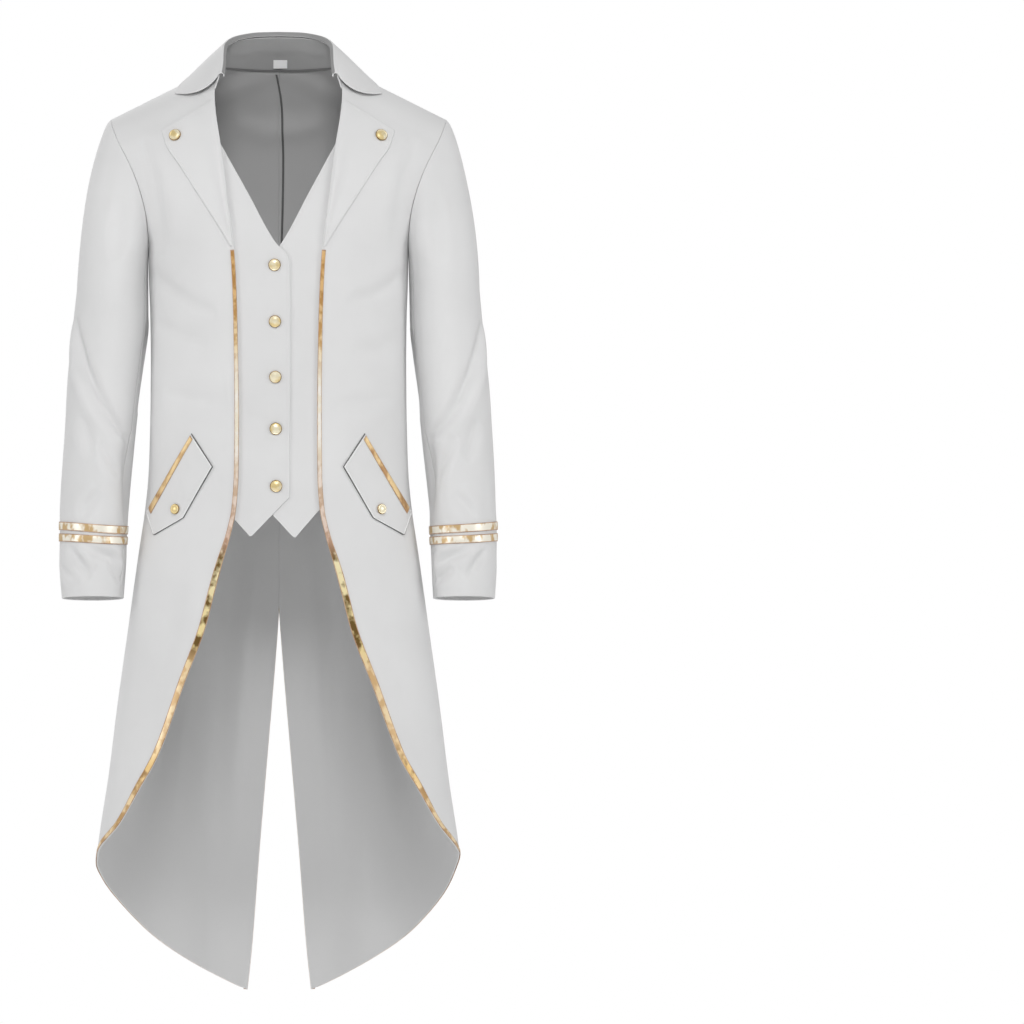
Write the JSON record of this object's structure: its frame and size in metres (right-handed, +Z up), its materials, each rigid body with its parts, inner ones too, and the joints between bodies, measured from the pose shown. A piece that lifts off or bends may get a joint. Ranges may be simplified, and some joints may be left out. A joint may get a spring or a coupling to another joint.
{
  "type": "tuxedo tailcoat jacket",
  "caption": "Light grey tailcoat filled out as worn, with turned-back lapels, a sewn-in waistcoat front, gold edging, buttoned pocket flaps, cuff bands and a slit tail.",
  "frame": {"origin": "middle of the neck base between the shoulders, where the wearer holds the coat up", "axes": "+Z up along the body, -Y out of the coat front, +X towards the wearer's left"},
  "size_m": [0.5708, 0.2597, 1.246],
  "materials": {
    "cloth": "matte",
    "gold_trim": "gloss",
    "buttons": "polished",
    "label": "satin"
  },
  "bodies": {
    "root": {"front_left": "cloth", "front_right": "cloth", "back_left": "cloth", "back_right": "cloth", "sleeve_top_left": "cloth", "sleeve_top_right": "cloth", "sleeve_under_left": "cloth", "sleeve_under_right": "cloth", "lapel_left": "cloth", "lapel_right": "cloth", "pocket_flap_left": "cloth", "pocket_flap_right": "cloth", "vest_front_left": "cloth", "vest_front_right": "cloth", "collar_stand": "cloth", "collar_fall": "cloth", "back_tab": "cloth", "front_trim_left": "gold_trim", "front_trim_right": "gold_trim", "hem_trim_left": "gold_trim", "hem_trim_right": "gold_trim", "slit_trim_left": "gold_trim", "slit_trim_right": "gold_trim", "flap_piping_left": "gold_trim", "flap_piping_right": "gold_trim", "cuff_band_upper_left": "gold_trim", "cuff_band_upper_right": "gold_trim", "cuff_band_lower_left": "gold_trim", "cuff_band_lower_right": "gold_trim", "slit_cap": "gold_trim", "neck_label": "label", "vest_button_1": "buttons", "vest_button_2": "buttons", "vest_button_3": "buttons", "vest_button_4": "buttons", "vest_button_5": "buttons", "lapel_button_left": "buttons", "flap_button_left": "buttons", "tab_button_left": "buttons", "cuff_button_1_left": "buttons", "cuff_button_2_left": "buttons", "cuff_button_3_left": "buttons", "lapel_button_right": "buttons", "flap_button_right": "buttons", "tab_button_right": "buttons", "cuff_button_1_right": "buttons", "cuff_button_2_right": "buttons", "cuff_button_3_right": "buttons"}
  },
  "joints": []
}
